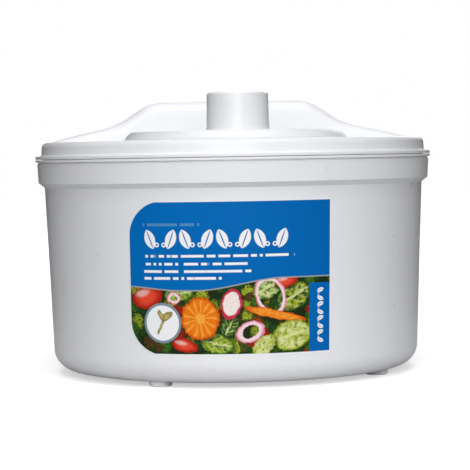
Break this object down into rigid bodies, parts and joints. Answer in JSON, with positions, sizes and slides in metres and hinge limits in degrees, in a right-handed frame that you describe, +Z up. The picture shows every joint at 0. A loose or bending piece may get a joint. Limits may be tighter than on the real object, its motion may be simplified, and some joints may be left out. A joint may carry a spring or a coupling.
{
  "type": "salad spinner",
  "caption": "Round white salad spinner: a bowl with a slotted basket, and a lid with a grip ridge and an off-centre crank disc whose gears turn the basket.",
  "frame": {"origin": "middle of the base, on the surface that the feet stand on", "axes": "+Z up along the bowl's axis, -Y the front with the label and the knob, +X to the right seen from the front"},
  "size_m": [0.25, 0.25, 0.1742],
  "materials": {
    "white_plastic": "satin gloss white polypropylene",
    "foot_plastic": "soft white elastomer",
    "label_paper": "coated paper sticker",
    "acetal": "natural acetal",
    "steel": "zinc-plated steel"
  },
  "bodies": {
    "bowl": {"bowl": "white_plastic", "foot_front_left": "foot_plastic", "foot_front_right": "foot_plastic", "foot_back_right": "foot_plastic", "foot_back_left": "foot_plastic", "label": "label_paper"},
    "lid": {"lid": "white_plastic", "crank_bush": "acetal", "gear_cover": "white_plastic", "cover_screws": "steel", "output_bush": "acetal"},
    "crank": {"crank_disc": "white_plastic", "drive_gear": "acetal", "crank_washer": "steel", "crank_screw": "steel", "knob_washer": "steel", "knob_screw": "steel"},
    "knob": {"knob": "white_plastic", "knob_cap": "white_plastic"},
    "driver": {"pinion": "acetal", "output_shaft": "steel", "driver_wheel": "white_plastic", "driver_washer": "steel", "driver_screw": "steel"},
    "basket": {"basket": "white_plastic"}
  },
  "joints": [
    {"name": "lid_lift", "type": "slide", "parent": "bowl", "child": "lid", "axis": [0, 0, 1], "range_m": [0, 0.16]},
    {"name": "crank_turn", "type": "hinge", "parent": "lid", "child": "crank", "pos_m": [0, -0.0408, 0.14], "axis": [0, 0, 1], "continuous": true},
    {"name": "knob_spin", "type": "hinge", "parent": "crank", "child": "knob", "pos_m": [0, -0.082, 0.16], "axis": [0, 0, 1], "continuous": true},
    {"name": "driver_turn", "type": "hinge", "parent": "lid", "child": "driver", "pos_m": [0, 0, 0.13], "axis": [0, 0, 1], "continuous": true},
    {"name": "basket_spin", "type": "hinge", "parent": "bowl", "child": "basket", "pos_m": [0, 0, 0.02], "axis": [0, 0, 1], "continuous": true}
  ],
  "couplings": [
    {"joint": "driver_turn", "follows": "crank_turn", "ratio": -3},
    {"joint": "basket_spin", "follows": "crank_turn", "ratio": -3}
  ]
}
